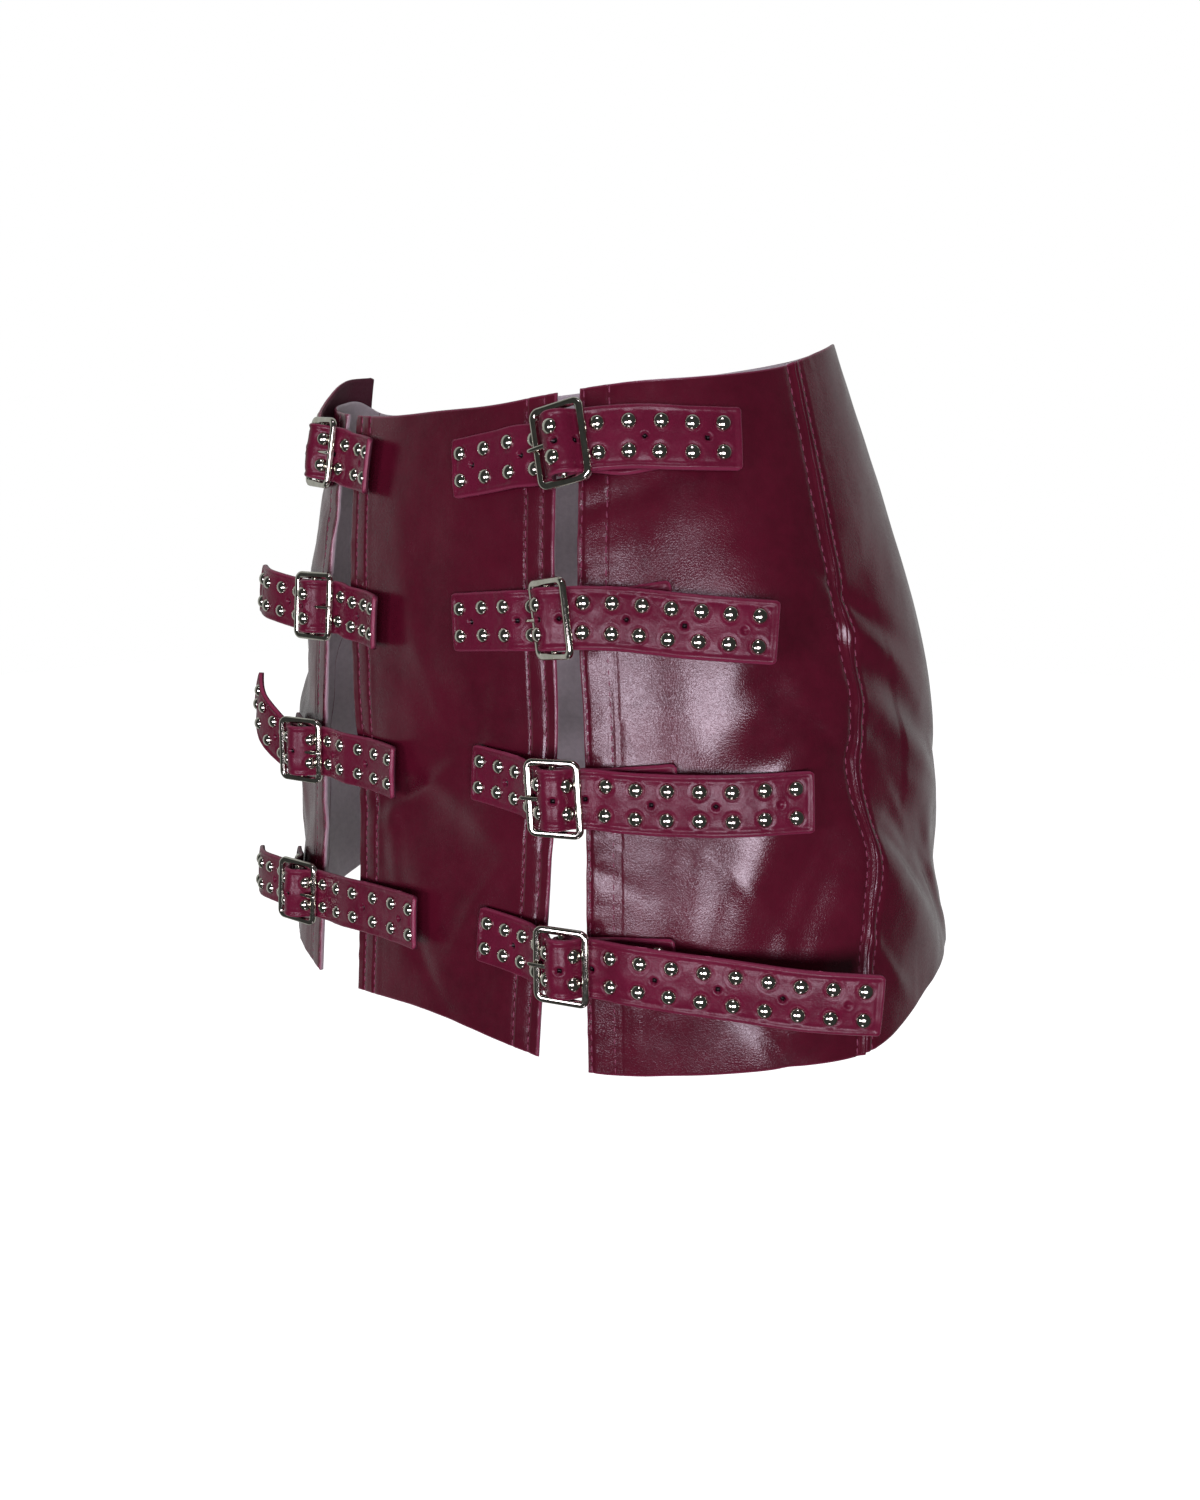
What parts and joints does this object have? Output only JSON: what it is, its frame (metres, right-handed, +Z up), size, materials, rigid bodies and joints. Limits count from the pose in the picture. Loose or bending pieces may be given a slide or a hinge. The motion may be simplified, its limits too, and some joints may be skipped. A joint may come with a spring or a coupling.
{
  "type": "leather skirt",
  "caption": "Short glossy leather skirt, hollow as worn, with open gaps beside the front panel bridged by studded buckle straps.",
  "frame": {"origin": "centre of the waist opening, where the wearer's waist holds the skirt", "axes": "+Z up, the front faces -Y, the wearer's left is +X"},
  "size_m": [0.4152, 0.2864, 0.3372],
  "materials": {
    "front_panel": "glossy dark red leather with fine grain",
    "side_panel_left": "glossy dark red leather with fine grain",
    "side_panel_right": "glossy dark red leather with fine grain",
    "back_panel_left": "glossy dark red leather with fine grain",
    "back_panel_right": "glossy dark red leather with fine grain",
    "strap_left_1": "glossy crimson leather with dome studs",
    "strap_left_2": "glossy crimson leather with dome studs",
    "strap_left_3": "glossy crimson leather with dome studs",
    "strap_left_4": "glossy crimson leather with dome studs",
    "strap_right_1": "glossy crimson leather with dome studs",
    "strap_right_2": "glossy crimson leather with dome studs",
    "strap_right_3": "glossy crimson leather with dome studs",
    "strap_right_4": "glossy crimson leather with dome studs",
    "buckle_strap_left_1": "glossy crimson leather with dome studs",
    "buckle_strap_left_2": "glossy crimson leather with dome studs",
    "buckle_strap_left_3": "glossy crimson leather with dome studs",
    "buckle_strap_left_4": "glossy crimson leather with dome studs",
    "buckle_strap_right_1": "glossy crimson leather with dome studs",
    "buckle_strap_right_2": "glossy crimson leather with dome studs",
    "buckle_strap_right_3": "glossy crimson leather with dome studs",
    "buckle_strap_right_4": "glossy crimson leather with dome studs",
    "buckle_left_1": "polished nickel plate",
    "buckle_left_2": "polished nickel plate",
    "buckle_left_3": "polished nickel plate",
    "buckle_left_4": "polished nickel plate",
    "buckle_right_1": "polished nickel plate",
    "buckle_right_2": "polished nickel plate",
    "buckle_right_3": "polished nickel plate",
    "buckle_right_4": "polished nickel plate",
    "prong_left_1": "polished nickel plate",
    "prong_left_2": "polished nickel plate",
    "prong_left_3": "polished nickel plate",
    "prong_left_4": "polished nickel plate",
    "prong_right_1": "polished nickel plate",
    "prong_right_2": "polished nickel plate",
    "prong_right_3": "polished nickel plate",
    "prong_right_4": "polished nickel plate"
  },
  "bodies": {
    "root": {"front_panel": "front_panel", "side_panel_left": "side_panel_left", "side_panel_right": "side_panel_right", "back_panel_left": "back_panel_left", "back_panel_right": "back_panel_right", "strap_left_1": "strap_left_1", "strap_left_2": "strap_left_2", "strap_left_3": "strap_left_3", "strap_left_4": "strap_left_4", "strap_right_1": "strap_right_1", "strap_right_2": "strap_right_2", "strap_right_3": "strap_right_3", "strap_right_4": "strap_right_4", "buckle_strap_left_1": "buckle_strap_left_1", "buckle_strap_left_2": "buckle_strap_left_2", "buckle_strap_left_3": "buckle_strap_left_3", "buckle_strap_left_4": "buckle_strap_left_4", "buckle_strap_right_1": "buckle_strap_right_1", "buckle_strap_right_2": "buckle_strap_right_2", "buckle_strap_right_3": "buckle_strap_right_3", "buckle_strap_right_4": "buckle_strap_right_4", "buckle_left_1": "buckle_left_1", "buckle_left_2": "buckle_left_2", "buckle_left_3": "buckle_left_3", "buckle_left_4": "buckle_left_4", "buckle_right_1": "buckle_right_1", "buckle_right_2": "buckle_right_2", "buckle_right_3": "buckle_right_3", "buckle_right_4": "buckle_right_4", "prong_left_1": "prong_left_1", "prong_left_2": "prong_left_2", "prong_left_3": "prong_left_3", "prong_left_4": "prong_left_4", "prong_right_1": "prong_right_1", "prong_right_2": "prong_right_2", "prong_right_3": "prong_right_3", "prong_right_4": "prong_right_4"}
  },
  "joints": []
}
